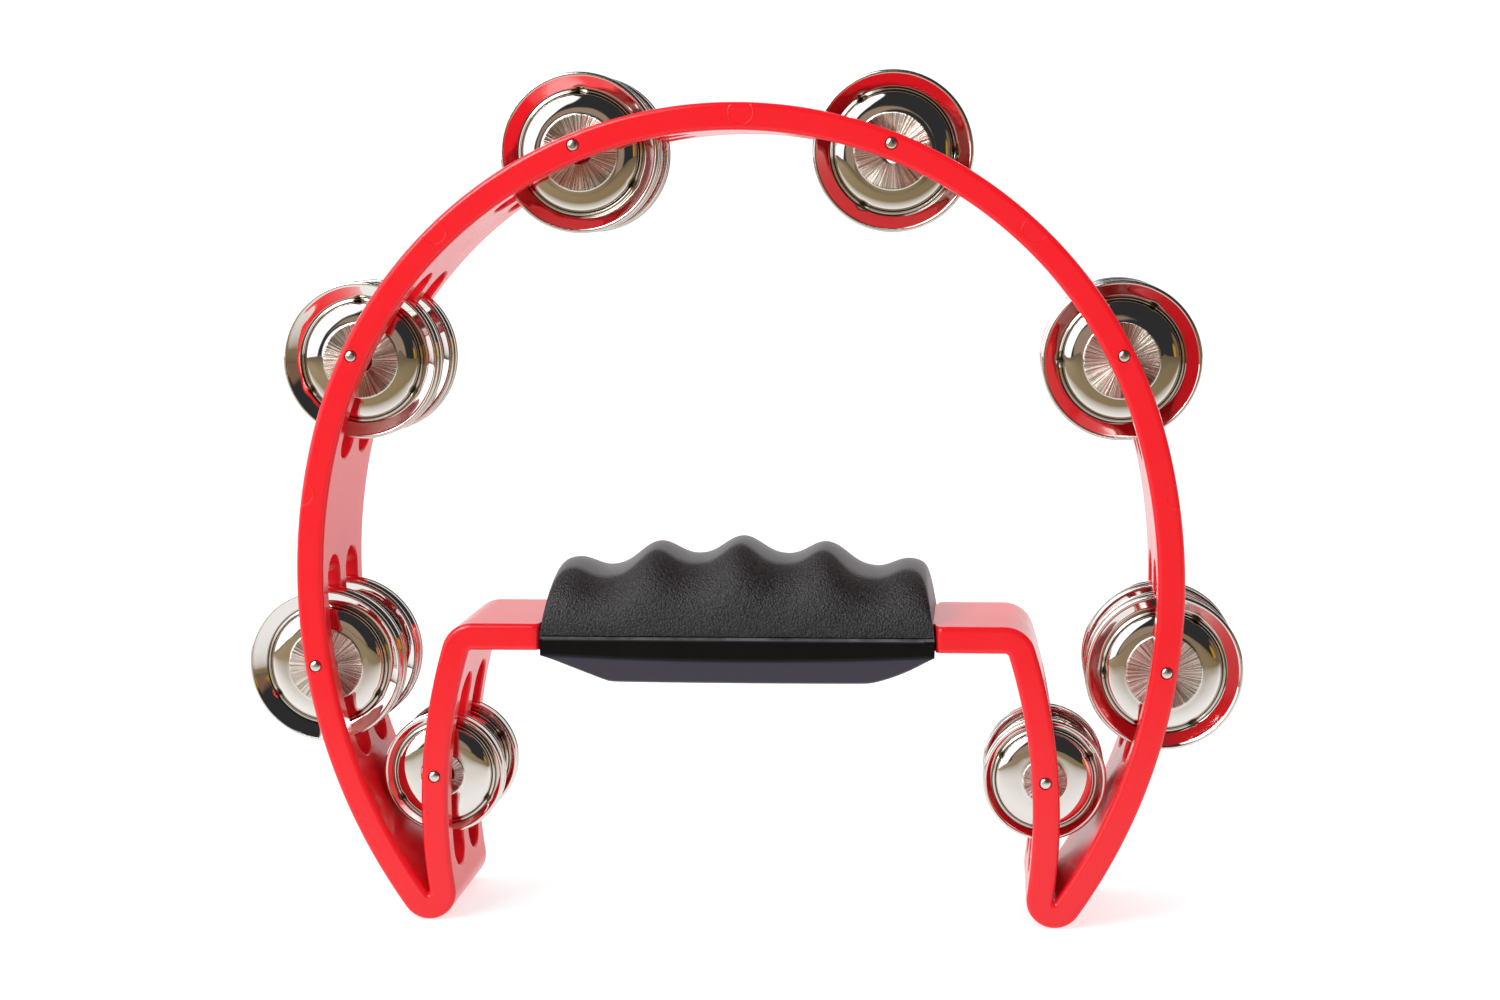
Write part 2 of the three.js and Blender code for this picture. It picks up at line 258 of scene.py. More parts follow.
def add_object(name, mesh, material, parent_body="frame", place=None):
    piece = bpy.data.objects.new(name, mesh)
    bpy.context.scene.collection.objects.link(piece)
    if not mesh.materials:
        mesh.materials.append(material)
    if place is not None:
        piece.matrix_world = place
    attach(piece, parent_body)
    return piece


# Centre line of the wall's right half, from the crown down the side, round the tip, up the leg and
# along the bar to the middle. Each stretch is tangent to the next one.


class Arc:
    """A bend between two angles, in degrees. outward is -1 where its outside faces its centre."""

    def __init__(self, x, z, radius, start, end, outward, steps):
        self.x = x
        self.z = z
        self.radius = radius
        self.start = math.radians(start)
        self.end = math.radians(end)
        self.outward = outward
        self.length = radius * abs(self.end - self.start)
        self.marks = [self.length * step / steps for step in range(steps)]

    def angle(self, distance):
        return mix(self.start, self.end, distance / self.length)

    def normal(self, distance):
        angle = self.angle(distance)
        return self.outward * math.cos(angle), self.outward * math.sin(angle)

    def point(self, distance, offset):
        angle = self.angle(distance)
        reach = self.radius + self.outward * offset
        return self.x + reach * math.cos(angle), self.z + reach * math.sin(angle)


class Bar:
    """The straight run from the corner to the middle, its outside facing down."""

    def __init__(self, x, z, marks):
        self.x = x
        self.z = z
        self.length = x
        self.marks = marks

    def normal(self, distance):
        return 0.0, -1.0

    def point(self, distance, offset):
        return self.x - distance, self.z - offset


CROWN = Arc(0, 110.2, 122.1, 90, 16, 1, 60)
SIDE = Arc(-40.37, 98.62, 164.1, 16, -34.48, 1, 56)
TIP = Arc(91.44, 8.1, 4.2, -34.48, -188.19, 1, 22)
LEG = Arc(-76.03, 32.2, 165, -8.19, 17.07, -1, 32)
BAR_START = 76.73
CORNER = Arc(BAR_START, 79.1, 5.2, 17.07, 90, -1, 14)
BAR_MARKS = [BAR_START - x for x in (BAR_START, 73, 69, 65, 61.5)]
BAR_MARKS += [
    BAR_START - BAR_STEP - BAR_STEP_ROUND * (1 - math.sin(math.radians(angle)))
    for angle in (0, 15, 30, 45, 60, 75, 90)
]
BAR_MARKS += [BAR_START - x for x in (57, 55, 45, 35, 25, 15, 7)]
BAR = Bar(BAR_START, 84.3, BAR_MARKS)
STRETCHES = [CROWN, SIDE, TIP, LEG, CORNER, BAR]
STARTS = [sum(each.length for each in STRETCHES[:place]) for place in range(len(STRETCHES))]
END = STARTS[-1] + BAR.length
COLUMNS = [start + mark for start, each in zip(STARTS, STRETCHES) for mark in each.marks] + [END]


def stretch_at(s):
    """The stretch that holds a distance s along the whole line, and how far along it that is."""
    for start, stretch in zip(reversed(STARTS), reversed(STRETCHES)):
        if s >= start:
            return stretch, s - start
    return STRETCHES[0], s


def wall_point(s, offset):
    stretch, distance = stretch_at(s)
    return stretch.point(distance, offset)


def wall_normal(s):
    stretch, distance = stretch_at(s)
    return stretch.normal(distance)


def half_depth(s):
    """The bar steps in where the grip starts, with a rounded shoulder."""
    from_middle = END - s
    if from_middle >= BAR_STEP + BAR_STEP_ROUND:
        return HALF_DEPTH
    if from_middle >= BAR_STEP:
        run = BAR_STEP + BAR_STEP_ROUND - from_middle
        return HALF_DEPTH - BAR_STEP_ROUND + math.sqrt(max(BAR_STEP_ROUND**2 - run**2, 0))
    ramp = min((BAR_STEP - from_middle) / BAR_STEP_RUN, 1.0)
    return mix(HALF_DEPTH - BAR_STEP_ROUND, BAR_HALF_DEPTH, ramp)


def depth_slope(s):
    step = 0.02
    return (half_depth(s + step) - half_depth(s - step)) / (2 * step)


FLAT_HALF_DEPTH = HALF_DEPTH - EDGE_ROUND
FLAT_HALF_WALL = HALF_WALL - EDGE_ROUND
ROUND_LENGTH = EDGE_ROUND * math.pi / 2


def wall_face(side):
    """The wall's outside (side 1) or inside (side -1), from s and w to a corner.

    w runs across the flat part, from -FLAT_HALF_DEPTH to FLAT_HALF_DEPTH.
    """

    def place(s, w):
        x, z = wall_point(s, side * HALF_WALL)
        normal_x, normal_z = wall_normal(s)
        y = w * (half_depth(s) - EDGE_ROUND) / FLAT_HALF_DEPTH
        return (x, y, z), (side * normal_x, 0.0, side * normal_z)

    return place


def edge_face(side):
    """The wall's front (side -1) or rear (side 1) edge with both its rounded corners.

    u runs along the edge's outline, from its middle.
    """

    def place(s, u):
        turn = max(abs(u) - FLAT_HALF_WALL, 0) / EDGE_ROUND
        way = math.copysign(1, u)
        offset = way * (min(abs(u), FLAT_HALF_WALL) + EDGE_ROUND * math.sin(turn))
        x, z = wall_point(s, offset)
        normal_x, normal_z = wall_normal(s)
        y = side * (half_depth(s) - EDGE_ROUND * (1 - math.cos(turn)))
        across = way * math.sin(turn)
        facing = math.cos(turn)
        slope = depth_slope(s)
        along_x, along_z = normal_z, -normal_x
        normal = (
            across * normal_x - facing * slope * along_x,
            side * facing,
            across * normal_z - facing * slope * along_z,
        )
        return (x, y, z), unit(normal)

    return place


def inside(loop, point):
    """Whether a point lies inside a closed loop of 2-D points."""
    x, y = point
    crossings = 0
    for (x1, y1), (x2, y2) in zip(loop, loop[1:] + loop[:1]):
        if (y1 > y) != (y2 > y) and x < x1 + (y - y1) * (x2 - x1) / (y2 - y1):
            crossings += 1
    return crossings % 2 == 1


def add_patch(surface, place, rows, holes):
    """Fills a rectangle of the wall's surface, leaving out the holes.

    Each hole is a loop of (s, w) points and a slightly larger loop that grid points keep clear of.
    """
    points = []
    edges = []
    for number, s in enumerate(COLUMNS):
        for row, w in enumerate(rows):
            rim = number in (0, len(COLUMNS) - 1) or row in (0, len(rows) - 1)
            if rim or not any(inside(clear, (s, w)) for _, clear in holes):
                points.append((s, w))
    for loop, _ in holes:
        start = len(points)
        points.extend(loop)
        edges.extend((start + k, start + (k + 1) % len(loop)) for k in range(len(loop)))
    whole_area = 0
    tolerance = 1e-6
    vectors = [Vector(point) for point in points]
    made, _, triangles, sources, _, _ = delaunay_2d_cdt(vectors, edges, [], whole_area, tolerance, True)
    origin = [points[source[0]] if source else tuple(made[k]) for k, source in enumerate(sources)]
    for triangle in triangles:
        corners = [origin[k] for k in triangle]
        middle = (sum(c[0] for c in corners) / 3, sum(c[1] for c in corners) / 3)
        if not any(inside(loop, middle) for loop, _ in holes):
            surface.face(*(place(*corner) for corner in corners))


# Stations: where the pins cross the wall on the right half. Each has a mirrored twin on the left.


class Station:
    """Where a pin crosses the wall, with the same slot in both rows."""

    def __init__(self, name, arc, angle, pin_outward, jingle, half_slot):
        self.name = name
        self.arc = arc
        self.angle = math.radians(angle)
        self.pin_outward = pin_outward
        self.jingle = jingle
        self.half_slot = half_slot
        start = STARTS[STRETCHES.index(arc)]
        self.s = start + arc.length * (self.angle - arc.start) / (arc.end - arc.start)
        self.normal = wall_normal(self.s)
        self.along = (self.normal[1], -self.normal[0])
        self.middle = wall_point(self.s, 0)

    def pin(self):
        return wall_point(self.s, self.pin_outward)

    def reach(self, t, offset):
        """The s at which the wall's face at that offset lies t along the station's tangent.

        Each round corrects s by what is still missing.
        """
        s = self.s + t
        rounds = 8
        for _ in range(rounds):
            x, z = wall_point(s, offset)
            run = (x - self.middle[0]) * self.along[0] + (z - self.middle[1]) * self.along[1]
            s += t - run
        return s


STATIONS = [
    Station("crown", CROWN, 68.65, PIN_OUTWARD, "large", 30),
    Station("shoulder", CROWN, 26.7, PIN_OUTWARD, "large", 30),
    Station("side", SIDE, -8.1, PIN_OUTWARD, "large", 30),
    Station("leg", LEG, 3.75, 0, "small", 29),
]


def slot_outline(half_slot, extra):
    """The slot's rounded outline, grown by extra: (t, y, t direction, y direction) all round."""
    straight = half_slot - SLOT_HALF_WIDTH
    radius = SLOT_HALF_WIDTH + extra
    outline = []
    for end in (1, -1):
        for step in range(SLOT_END_STEPS + 1):
            angle = math.radians(-90 + 180 * step / SLOT_END_STEPS)
            cosine = end * math.cos(angle)
            sine = end * math.sin(angle)
            outline.append((end * straight + radius * cosine, radius * sine, cosine, sine))
        for step in range(1, SLOT_SIDE_STEPS):
            t = end * straight * (1 - 2 * step / SLOT_SIDE_STEPS)
            outline.append((t, end * radius, 0.0, float(end)))
    return outline


def add_slot(surface, station, row_y):
    """The slot's walls with a small fillet at either face. Returns its loops on both faces."""
    loops = {}
    rings = []
    for side in (1, -1):
        steps = (0, 30, 60, 90) if side == 1 else (90, 60, 30, 0)
        for degrees in steps:
            turn = math.radians(degrees)
            outline = slot_outline(station.half_slot, SLOT_FILLET * (1 - math.sin(turn)))
            sunk = SLOT_FILLET * (1 - math.cos(turn))
            ring = []
            for t, y, t_way, y_way in outline:
                s = station.reach(t, side * HALF_WALL)
                x, z = wall_point(s, side * (HALF_WALL - sunk))
                out_x, out_z = wall_normal(s)
                face = (side * out_x, 0.0, side * out_z)
                hole = (-t_way * station.along[0], -y_way, -t_way * station.along[1])
                normal = unit(tuple(
                    f * math.cos(turn) + h * math.sin(turn) for f, h in zip(face, hole)
                ))
                ring.append(((x, row_y + y, z), normal))
            rings.append(ring)
        for extra in (SLOT_FILLET, SLOT_FILLET + SLOT_CLEARANCE):
            outline = slot_outline(station.half_slot, extra)
            loop = [(station.reach(t, side * HALF_WALL), row_y + y) for t, y, _, _ in outline]
            loops.setdefault(side, []).append(loop)
    surface.grid(rings, closed=True)
    return loops


def ring_loop(station, radius):
    """A circle around the pin on the front edge, as (s, u) points."""
    arc = station.arc
    loop = []
    for step in range(PIN_RECESS_STEPS):
        angle = 2 * math.pi * step / PIN_RECESS_STEPS
        t = radius * math.cos(angle)
        n = station.pin_outward + radius * math.sin(angle)
        x = station.middle[0] + t * station.along[0] + n * station.normal[0]
        z = station.middle[1] + t * station.along[1] + n * station.normal[1]
        offset = arc.outward * (math.hypot(x - arc.x, z - arc.z) - arc.radius)
        share = (math.atan2(z - arc.z, x - arc.x) - arc.start) / (arc.end - arc.start)
        s = STARTS[STRETCHES.index(arc)] + arc.length * share
        over = abs(offset) - FLAT_HALF_WALL
        u = offset
        if over > 0:
            turn = math.asin(min(over / EDGE_ROUND, 1))
            u = math.copysign(FLAT_HALF_WALL + EDGE_ROUND * turn, offset)
        loop.append((s, u))
    return loop


def add_pin_recess(surface, station):
    """The shallow recess that a pin's head sits in. Returns its loops on the front edge."""
    place = edge_face(-1)
    mouth = ring_loop(station, PIN_RECESS_RADIUS + PIN_RECESS_FLARE)
    pin_x, pin_z = station.pin()
    rings = [[place(*point) for point in mouth]]
    for sunk in (PIN_RECESS_FLARE_DEPTH, PIN_RECESS_DEPTH):
        ring = []
        for (x, y, z), _ in rings[0]:
            away = unit((x - pin_x, 0.0, z - pin_z))
            spot = (pin_x + PIN_RECESS_RADIUS * away[0], y + sunk, pin_z + PIN_RECESS_RADIUS * away[2])
            ring.append((spot, unit(tuple(-value for value in away))))
        rings.append(ring)
    surface.grid(rings, closed=True)
    floor = (0.0, -1.0, 0.0)
    bottom = [(spot, floor) for spot, _ in rings[-1]]
    centre = ((pin_x, -HALF_DEPTH + PIN_RECESS_DEPTH, pin_z), floor)
    for one, other in zip(bottom, bottom[1:] + bottom[:1]):
        surface.face(one, other, centre)
    return [mouth, ring_loop(station, PIN_RECESS_RADIUS + PIN_RECESS_CLEARANCE)]


def frame_mesh():
    surface = Surface()
    holes = {1: [], -1: []}
    recesses = []
    for station in STATIONS:
        for row_y in (-ROW_OFFSET, ROW_OFFSET):
            for side, loops in add_slot(surface, station, row_y).items():
                holes[side].append(loops)
        recesses.append(add_pin_recess(surface, station))
    wall_steps = 5
    wall_rows = [FLAT_HALF_DEPTH * step / wall_steps for step in range(-wall_steps, wall_steps + 1)]
    round_steps = 6
    round_rows = [FLAT_HALF_WALL + ROUND_LENGTH * step / round_steps for step in range(round_steps + 1)]
    first_row = 0.8
    half_rows = [first_row, *round_rows]
    edge_rows = [-row for row in reversed(half_rows)] + half_rows
    for side in (1, -1):
        add_patch(surface, wall_face(side), wall_rows, holes[side])
        add_patch(surface, edge_face(side), edge_rows, recesses if side == -1 else [])
    surface.mirrored()
    return surface.mesh("frame_fine")


# Grip


def ridge_height(x):
    ripple = 1 - abs(math.cos(math.pi * x / RIDGE_PITCH)) ** RIDGE_SHARPNESS
    return RIDGE_TOP - RIDGE_FALL * x**2 - RIDGE_DEPTH * ripple


def grip_end(z):
    """Half the length of the upper half at a height."""
    return GRIP_HALF_LENGTH - GRIP_END_SLOPE * (z - SEAM_HEIGHT)


def ridge_line():
    """Points (x, z) over the middle of the upper half, right to left."""
    top = ridge_height(LAST_RIDGE)
    foot = top - END_CORNER_DROP
    right = []
    for step in range(END_CORNER_STEPS + 1):
        share = step / END_CORNER_STEPS
        x = mix(mix(grip_end(foot), grip_end(top), share), mix(grip_end(top), LAST_RIDGE, share), share)
        z = mix(mix(foot, top, share), top, share)
        right.append((x, z))
    for step in range(1, RIDGE_STEPS + 1):
        x = LAST_RIDGE * (1 - step / RIDGE_STEPS)
        right.append((x, ridge_height(x)))
    return right + [(-x, z) for x, z in reversed(right[:-1])]


def dome_rows():
    """The ridge line swept from front to rear, falling to the seam in a half ellipse."""
    foot = SEAM_HEIGHT + SEAM_GAP / 2 + GRIP_FOOT
    rows = []
    for step in range(DOME_STEPS + 1):
        angle = math.pi * step / DOME_STEPS
        y = -HALF_DEPTH * math.cos(angle)
        row = []
        for ridge_x, ridge_z in ridge_line():
            z = mix(foot, ridge_z, math.sin(angle))
            row.append((ridge_x * grip_end(z) / grip_end(ridge_z), y, z))
        rows.append(row)
    return rows


def finger_mesh():
    base = SEAM_HEIGHT + SEAM_GAP / 2
    rows = dome_rows()
    surface = Surface()
    surface.grid(outward_grid(rows))
    spread = grip_end(base) / grip_end(base + GRIP_FOOT)
    low_rows = [[(rows[0][c][0] * spread, row[c][1], base) for c in range(len(row))] for row in rows]
    for place, way in ((0, -1.0), (-1, 1.0)):
        facing = (0.0, way, 0.0)
        surface.strip(*([(point, facing) for point in row] for row in (rows[place], low_rows[place])))
    for place, way in ((0, 1.0), (-1, -1.0)):
        facing = unit((way, 0.0, GRIP_END_SLOPE))
        surface.strip(*([(row[place], facing) for row in sheet] for sheet in (rows, low_rows)))
    down = (0.0, 0.0, -1.0)
    surface.grid([[(point, down) for point in row] for row in low_rows])
    return surface.mesh("grip_upper")


def outward_grid(rows):
    """The rows with their normals pointing up at the middle of the grid."""
    corners = with_normals(rows)
    middle = corners[len(corners) // 2]
    if middle[len(middle) // 2][1][2] < 0:
        return turned(corners)
    return corners


def rounded(corners, steps=6):
    """A polyline through (y, z, radius) corners, each rounded by its radius."""
    line = [corners[0][:2]]
    for before, here, after in zip(corners, corners[1:], corners[2:]):
        y, z, radius = here
        arms = []
        for other in (before, after):
            size = math.hypot(other[0] - y, other[1] - z) or 1.0
            reach = min(radius, size / 2)
            arms.append((y + (other[0] - y) / size * reach, z + (other[1] - z) / size * reach))
        for step in range(steps + 1):
            share = step / steps
            line.append(tuple(
                (1 - share) ** 2 * arms[0][axis]
                + 2 * share * (1 - share) * (y, z)[axis]
                + share**2 * arms[1][axis]
                for axis in (0, 1)
            ))
    line.append(corners[-1][:2])
    return line


def belly_height(x):
    """The underside: a flat middle that slopes up to the band at either end."""
    share = (abs(x) - PALM_FLAT_HALF_LENGTH) / (GRIP_HALF_LENGTH - PALM_FLAT_HALF_LENGTH)
    rise = max(share, -1) * (PALM_END_HEIGHT - PALM_BOTTOM)
    if x > 0 and share > 0:
        rise -= PALM_RIGHT_BULGE * math.sin(math.pi * share)
    return PALM_BOTTOM + (rise + math.sqrt(rise**2 + PALM_CORNER)) / 2


def palm_section(x):
    """Half the loop under the grip at one x, front seam to the middle, then its mirror image."""
    top = SEAM_HEIGHT - SEAM_GAP / 2
    end_share = (x / GRIP_HALF_LENGTH) ** 2
    spare = 0.05                      # keeps the outline open where the belly meets the band
    band = mix(PALM_BAND_HEIGHT, PALM_END_HEIGHT + 2 * spare, end_share)
    bottom = min(belly_height(x), band - spare)
    flat = HALF_DEPTH - (band - bottom) * PALM_SLANT
    lip = LIP["proud"] if LIP["from"] < x < LIP["to"] else 0.0
    line = rounded([
        (-HALF_DEPTH + 0.2, top, 0),
        (-HALF_DEPTH - lip, top - 0.05, 0.25),
        (-HALF_DEPTH - lip, top - LIP["height"], LIP["round"]),
        (-HALF_DEPTH, top - LIP["height"] - LIP["slope"], LIP["round"]),
        (-HALF_DEPTH, band, PALM_BAND_ROUND),
        (-flat, bottom, PALM_BOTTOM_ROUND),
        (0, bottom, 0),
    ])
    half = [(x, y, z) for y, z in line]
    return half + [(px, -py, pz) for px, py, pz in reversed(half[:-1])]


def palm_mesh():
    places = [GRIP_HALF_LENGTH * step / PALM_STEPS for step in range(-PALM_STEPS, PALM_STEPS + 1)]
    places += [LIP[edge] + way * LIP_STEP for edge in ("from", "to") for way in (-1, 1)]
    rows = [palm_section(x) for x in sorted(places)]
    surface = Surface()
    surface.grid(turned(outward_grid(rows)))
    up = (0.0, 0.0, 1.0)
    surface.strip([(row[0], up) for row in rows], [(row[-1], up) for row in rows])
    for row, way in ((rows[0], -1.0), (rows[-1], 1.0)):
        end = [(point, (way, 0.0, 0.0)) for point in row]
        half = len(end) // 2
        surface.strip(end[:half + 1], end[:half - 1:-1])
    return surface.mesh("grip_lower")


# Turned pieces


def lathe(name, profile, turns, dent=None):
    """A closed solid of revolution about Y from (radius, y, crease) points, in order round it.

    dent(radius, angle) is added to y.
    """
    rings = []
    for radius, y, _ in profile:
        ring = []
        for step in range(turns if radius > 0 else 1):
            angle = 2 * math.pi * step / turns
            sunk = dent(radius, angle) if dent else 0.0
            ring.append((radius * math.cos(angle), y + sunk, radius * math.sin(angle)))
        rings.append(ring * (turns if radius == 0 else 1))
    surface = Surface()
    spans = []
    start = 0
    for place, (_, _, crease) in enumerate(profile):
        if crease and place > start:
            spans.append(rings[start:place + 1])
            start = place
    spans.append(rings[start:])
    for span in spans:
        surface.grid(with_normals(span, closed=True), closed=True)
    return surface.mesh(name)


def pin_mesh():
    """Along Y, its middle at the origin: a domed head in front and a plain shank."""
    head_back = -HALF_DEPTH + PIN_RECESS_DEPTH
    dome = []
    dome_steps = 8
    for step in range(dome_steps + 1):
        angle = math.radians(90 * step / dome_steps)
        y = -HALF_DEPTH + PIN_HEAD_BASE - PIN_HEAD_HEIGHT * math.cos(angle)
        dome.append((PIN_HEAD_RADIUS * math.sin(angle), y, False))
    profile = dome + [
        (PIN_HEAD_RADIUS, head_back, True),
        (PIN_RADIUS, head_back, True),
        (PIN_RADIUS, HALF_DEPTH - PIN_END_COVER, True),
        (0, HALF_DEPTH - PIN_END_COVER, False),
    ]
    return lathe("pin_fine", profile[::-1], PIN_TURNS)


def edge_points(radius, height, profile):
    """An edge's profile as lathe points, none of them a crease."""
    return [(radius + outwards, height + up, False) for outwards, up in profile]


def jingle_mesh(name, radius, cup, plateau):
    """A pressed jingle about Y: the back of its cup at Y = 0, its middle and its lip towards +Y.

    From the middle out: a flat plateau around the hole, a convex shoulder, a bead with three
    crimped notches, a dished flange and a rolled lip. Then back to the hole along the underside.
    """
    shoulder_inner = plateau + 0.25
    shoulder_outer = cup - 0.55
    bead_inner = cup - 0.4
    bead_foot = SHOULDER_FOOT - 0.3
    flange_inner = cup + 0.6
    flange_outer = radius - 1.1
    flange_high = FLANGE_LOW + FLANGE_SLOPE * (flange_outer - flange_inner)
    hole_wall = (PIN_HOLE_RADIUS, PLATEAU_HEIGHT - 0.5, True)

    profile = [hole_wall, *edge_points(PIN_HOLE_RADIUS, PLATEAU_HEIGHT, HOLE_EDGE)]
    dip_steps = 5
    for step in range(dip_steps + 1):
        share = step / dip_steps
        r = mix(PIN_HOLE_RADIUS + 0.5, plateau - 0.55, share)
        profile.append((r, PLATEAU_HEIGHT - PLATEAU_DIP * math.sin(math.pi * share), False))
    profile += edge_points(plateau, PLATEAU_HEIGHT, PLATEAU_EDGE)
    shoulder_steps = 10
    for step in range(shoulder_steps + 1):
        angle = math.radians(90 * step / shoulder_steps)
        r = mix(shoulder_inner, shoulder_outer, math.sin(angle))
        height = mix(SHOULDER_FOOT, SHOULDER_TOP, math.cos(angle) ** SHOULDER_FULLNESS)
        profile.append((r, height, False))
    for step in range(BEAD_STEPS):
        share = step / BEAD_STEPS
        foot = mix(bead_foot, FLANGE_LOW, share)
        height = foot + BEAD_HEIGHT * math.sin(math.pi * share)
        profile.append((mix(bead_inner, flange_inner, share), height, False))
    for step in range(FLANGE_STEPS + 1):
        share = step / FLANGE_STEPS
        rise = mix(share, share**4, FLANGE_FLARE)
        height = mix(FLANGE_LOW, flange_high, rise)
        profile.append((mix(flange_inner, flange_outer, share), height, False))
    profile += edge_points(radius, flange_high, ROLLED_LIP)

    profile += [
        (flange_outer, flange_high - 0.62, False),
        (mix(flange_inner, flange_outer, 0.5), mix(FLANGE_LOW, flange_high, 0.45) - SHEET, False),
        (flange_inner, 0.02, False),
        (cup - 0.2, 0.0, False),
        (shoulder_outer - 0.5, 0.3, False),
    ]
    under_steps = 6
    for step in range(under_steps - 1, -1, -1):
        angle = math.radians(90 * step / under_steps)
        r = mix(shoulder_inner, shoulder_outer, math.sin(angle)) - 0.5
        profile.append((r, mix(0.3, PLATEAU_HEIGHT - 0.7, math.cos(angle)), False))
    profile += [
        (plateau - 0.6, PLATEAU_HEIGHT - SHEET, False),
        (PIN_HOLE_RADIUS + 0.3, PLATEAU_HEIGHT - SHEET, False),
        hole_wall,
    ]

    def dent(r, angle):
        """How far the crimped notches push the bead in."""
        depth = 0.0
        for notch in NOTCHES:
            away = (math.degrees(angle) - notch + 180) % 360 - 180
            depth += math.exp(-((away / NOTCH_WIDTH) ** 2))
        return -NOTCH_DEPTH * depth * math.exp(-(((r - cup + 0.1) / NOTCH_LENGTH) ** 2))

    return lathe(name, profile, JINGLE_TURNS, dent)


# Materials

EJECTOR_RADIUS = 3.5
EJECTOR_LINE = 0.3
EJECTOR_MARKS = [                     # whether on both halves, x and z
    (False, 2.8, 233.3),
    (True, 84.6, 200.4),
    (True, 125.1, 125.9),
]
FRAME_RED = (0.8, 0.008, 0.016, 1)
# painted sheen: the lighter grey of the crest stands in for the reflection it catches
CREST_SHEEN_GREY = (0.12, 0.12, 0.122, 1)
LEATHER_DARK = (0.003, 0.003, 0.0032, 1)
LEATHER_LIGHT = (0.02, 0.02, 0.021, 1)
FRONT_BLACK = (0.002, 0.002, 0.0025, 1)
# painted reflection: the violet that the grip's downward faces show from the room
UNDERSIDE_REFLECTION_VIOLET = (0.022, 0.016, 0.033, 1)
# painted highlight: the light line that the seam's raised lip would catch
LIP_HIGHLIGHT_GREY = (0.1, 0.1, 0.1, 1)
PLATING = (0.86, 0.83, 0.79, 1)
# painted shade for the plating in its creases
CREASE_SHADE_BROWN = (0.13, 0.1, 0.06, 1)
# painted reflection: the dark and pale tones of the brushed plateau's streaks
BRUSHED_REFLECTION_DARK = (0.24, 0.19, 0.15, 1)
BRUSHED_REFLECTION_LIGHT = (1.0, 0.92, 0.82, 1)
STEEL_GREY = (0.8, 0.78, 0.74, 1)

# A Mix node has sockets for every type of data. These are the ones for colours and numbers.
COLOUR_MIX_INPUTS = (0, 6, 7)
COLOUR_MIX_OUTPUT = 2
NUMBER_MIX_INPUTS = (0, 2, 3)


class Nodes:
    """The node tree of a material or world, with short calls for what is used here."""

    def __init__(self, owner):
        owner.use_nodes = True
        self.owner = owner
        self.tree = owner.node_tree

    def add(self, kind, **settings):
        """A new node. Each setting is fed to the input of that name, or else set as a property."""
        node = self.tree.nodes.new("ShaderNode" + kind)
        for key, value in settings.items():
            if key in node.inputs:
                self.feed(node.inputs[key], value)
            else:
                setattr(node, key, value)
        return node

    def feed(self, socket, value):
        if isinstance(value, bpy.types.NodeSocket):
            self.tree.links.new(value, socket)
        else:
            socket.default_value = value

    def math(self, operation, *values):
        node = self.add("Math", operation=operation)
        for socket, value in zip(node.inputs, values):
            self.feed(socket, value)
        return node.outputs[0]

    def noise(self, place, scale, detail):
        return self.add("TexNoise", Vector=place, Scale=scale, Detail=detail).outputs[0]

    def bump(self, height, strength, distance, **settings):
        return self.add(
            "Bump", Height=height, Strength=strength, Distance=distance * MM, **settings
        ).outputs[0]

    def coordinates(self):
        return self.add("TexCoord").outputs["Object"]

    def apart(self, vector):
        """A vector's X, Y and Z sockets."""
        return self.add("SeparateXYZ", Vector=vector).outputs

    def facing(self):
        """The surface's normal as X, Y and Z sockets."""
        return self.apart(self.add("NewGeometry").outputs["Normal"])

    def blend(self, share, first, second):
        """A colour between two colours."""
        node = self.add("Mix", data_type="RGBA")
        for place, value in zip(COLOUR_MIX_INPUTS, (share, first, second)):
            self.feed(node.inputs[place], value)
        return node.outputs[COLOUR_MIX_OUTPUT]

    def map_range(self, value, low, high, new_low, new_high, **settings):
        node = self.add("MapRange", **settings)
        for socket, given in zip(node.inputs, (value, low, high, new_low, new_high)):
            self.feed(socket, given)
        return node.outputs[0]

    def set(self, **values):
        """Feeds the shader's inputs, with _ for a space in their names. Returns the material."""
        shader = self.tree.nodes["Principled BSDF"]
        for key, value in values.items():
            self.feed(shader.inputs[key.replace("_", " ")], value)
        return self.owner


def mould_marks(nodes, place):
    """Height of the faint rings that the mould's ejector pins leave on the front face."""
    x, y, z = nodes.apart(place)
    front = nodes.map_range(y, -HALF_DEPTH * MM, -FLAT_HALF_DEPTH * MM, 1.0, 0.0)
    height = 0.0
    for both_halves, centre_x, centre_z in EJECTOR_MARKS:
        here = nodes.add("CombineXYZ", X=nodes.math("ABSOLUTE", x) if both_halves else x, Z=z)
        distance = nodes.add("VectorMath", operation="DISTANCE")
        nodes.feed(distance.inputs[0], here.outputs[0])
        nodes.feed(distance.inputs[1], (centre_x * MM, 0, centre_z * MM))
        off = nodes.math("SUBTRACT", distance.outputs["Value"], EJECTOR_RADIUS * MM)
        ring = nodes.map_range(nodes.math("ABSOLUTE", off), 0.0, EJECTOR_LINE * MM, 1.0, 0.0)
        height = nodes.math("MAXIMUM", ring, height)
    return nodes.math("MULTIPLY", height, front)


def plastic_red():
    """Glossy moulding with slow flow waves and a trace of orange peel."""
    nodes = Nodes(bpy.data.materials.new("frame_plastic"))
    place = nodes.coordinates()
    flow = nodes.noise(place, 90.0, 2.0)
    orange_peel = nodes.noise(place, 700.0, 1.0)
    swell = nodes.math("MULTIPLY_ADD", orange_peel, 0.1, flow)
    marks = nodes.bump(mould_marks(nodes, place), 0.4, 0.2)
    return nodes.set(
        Base_Color=FRAME_RED,
        Roughness=nodes.map_range(flow, 0.3, 0.7, 0.13, 0.19),
        IOR=1.5,
        Normal=nodes.bump(swell, 0.05, 1.0, Normal=marks),
    )


